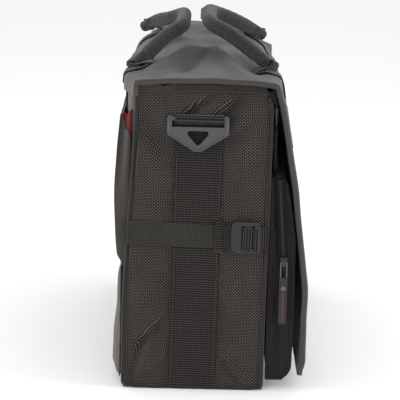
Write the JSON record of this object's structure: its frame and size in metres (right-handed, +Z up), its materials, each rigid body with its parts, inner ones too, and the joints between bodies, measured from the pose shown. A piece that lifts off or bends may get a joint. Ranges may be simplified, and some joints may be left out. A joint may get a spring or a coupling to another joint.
{
  "type": "flight bag",
  "caption": "Soft upright flap-top flight bag with two rolled carry handles, side strap buckles, shoulder-strap rings and a zipped front pocket.",
  "frame": {"origin": "middle of the base's underside, on the surface the bag stands on", "axes": "+X along the bag, -Y towards the flap front, +Z up"},
  "size_m": [0.43, 0.2115, 0.388],
  "materials": {
    "shell_fabric": "woven ballistic nylon, matt",
    "flap_fabric": "coated nylon, slight sheen",
    "red_lining": "plain nylon lining",
    "dark_lining": "plain nylon lining",
    "board": "pressed sheet",
    "binding": "grosgrain tape over cord",
    "webbing": "ribbed nylon webbing",
    "core": "foam cord",
    "moulded_plastic": "satin moulded acetal",
    "zip_tape": "woven polyester tape",
    "zip_coil": "nylon coil",
    "slider_metal": "black enamel",
    "wire": "blackened wire",
    "rivet": "nickel plated",
    "pull_rubber": "moulded rubber",
    "hook_and_loop": "hook-and-loop tape"
  },
  "bodies": {
    "bag_body": {"back_handle_legs": "webbing", "back_panel": "shell_fabric", "back_pocket_lining": "red_lining", "back_pocket_panel": "shell_fabric", "base_board": "board", "bottom_panel": "shell_fabric", "end_bindings": "binding", "end_panel_left": "shell_fabric", "end_panel_right": "shell_fabric", "end_pipings": "binding", "end_webbing_left": "webbing", "end_webbing_right": "webbing", "front_panel": "shell_fabric", "lock_anchors": "webbing", "lower_back_pad": "shell_fabric", "main_lining": "red_lining", "pocket_face": "shell_fabric", "pocket_gusset_bottom": "shell_fabric", "pocket_gusset_left": "shell_fabric", "pocket_gusset_right": "shell_fabric", "pocket_gusset_top": "shell_fabric", "pocket_loop_pads": "hook_and_loop", "pocket_pipings": "binding", "pocket_zip_coil": "zip_coil", "pocket_zip_tape": "zip_tape", "side_strap_left": "webbing", "side_strap_right": "webbing", "strap_keepers": "webbing", "upper_zip_coil": "zip_coil", "upper_zip_tape": "zip_tape"},
    "flap_top": {"flap_top": "flap_fabric", "flap_top_lining": "dark_lining", "flap_top_bindings": "binding"},
    "flap_front": {"flap_front": "flap_fabric", "flap_front_lining": "dark_lining", "flap_front_binding": "binding", "flap_hook_pads": "hook_and_loop", "front_handle_legs": "webbing"},
    "back_handle": {"back_handle_grip": "webbing", "back_handle_core": "core", "back_handle_tabs": "webbing", "back_handle_folds": "webbing"},
    "front_handle": {"front_handle_grip": "webbing", "front_handle_core": "core", "front_handle_tabs": "webbing", "front_handle_folds": "webbing"},
    "ring_left": {"strap_ring_left": "moulded_plastic"},
    "ring_right": {"strap_ring_right": "moulded_plastic"},
    "lock_left": {"ladder_lock_left": "moulded_plastic", "strap_thread_left": "webbing"},
    "lock_right": {"ladder_lock_right": "moulded_plastic", "strap_thread_right": "webbing"},
    "pocket_zip_slider": {"pocket_slider": "slider_metal"},
    "pocket_zip_pull": {"pocket_pull_bail": "wire", "pocket_pull_tab": "pull_rubber", "pocket_pull_rivet": "rivet"},
    "upper_zip_slider": {"upper_slider": "slider_metal"},
    "upper_zip_pull": {"upper_pull_bail": "wire", "upper_pull_tab": "pull_rubber", "upper_pull_rivet": "rivet"}
  },
  "joints": [
    {"name": "flap_open", "type": "hinge", "parent": "bag_body", "child": "flap_top", "pos_m": [0, 0.076, 0.331], "axis": [-1, 0, 0], "range_deg": [0, 100]},
    {"name": "flap_fold", "type": "hinge", "parent": "flap_top", "child": "flap_front", "pos_m": [0, -0.083, 0.333], "axis": [-1, 0, 0], "range_deg": [0, 90]},
    {"name": "back_handle_swing", "type": "hinge", "parent": "flap_top", "child": "back_handle", "pos_m": [0, 0.085, 0.341], "axis": [-1, 0, 0], "range_deg": [0, 85]},
    {"name": "front_handle_swing", "type": "hinge", "parent": "flap_top", "child": "front_handle", "pos_m": [0, -0.086, 0.342], "axis": [1, 0, 0], "range_deg": [0, 85]},
    {"name": "ring_left_swing", "type": "hinge", "parent": "bag_body", "child": "ring_left", "pos_m": [-0.21, 0, 0.2935], "axis": [0, 1, 0], "range_deg": [0, 165]},
    {"name": "ring_right_swing", "type": "hinge", "parent": "bag_body", "child": "ring_right", "pos_m": [0.21, 0, 0.2935], "axis": [0, -1, 0], "range_deg": [0, 165]},
    {"name": "lock_left_tilt", "type": "hinge", "parent": "bag_body", "child": "lock_left", "pos_m": [-0.211, -0.0635, 0.1695], "axis": [0, 0, 1], "range_deg": [0, 50]},
    {"name": "lock_right_tilt", "type": "hinge", "parent": "bag_body", "child": "lock_right", "pos_m": [0.211, -0.0635, 0.1695], "axis": [0, 0, -1], "range_deg": [0, 50]},
    {"name": "pocket_slider_slide", "type": "slide", "parent": "bag_body", "child": "pocket_zip_slider", "axis": [0, 0.0769, 0.997], "range_m": [0, 0.075]},
    {"name": "pocket_pull_swing", "type": "hinge", "parent": "pocket_zip_slider", "child": "pocket_zip_pull", "pos_m": [-0.2013, -0.09331, 0.141], "axis": [0, 1, 0], "range_deg": [0, 150]},
    {"name": "upper_slider_slide", "type": "slide", "parent": "bag_body", "child": "upper_zip_slider", "axis": [1, 0, 0], "range_m": [0, 0.334]},
    {"name": "upper_pull_swing", "type": "hinge", "parent": "upper_zip_slider", "child": "upper_zip_pull", "pos_m": [-0.167, -0.0819, 0.299], "axis": [0, 1, 0], "range_deg": [-50, 50]}
  ]
}
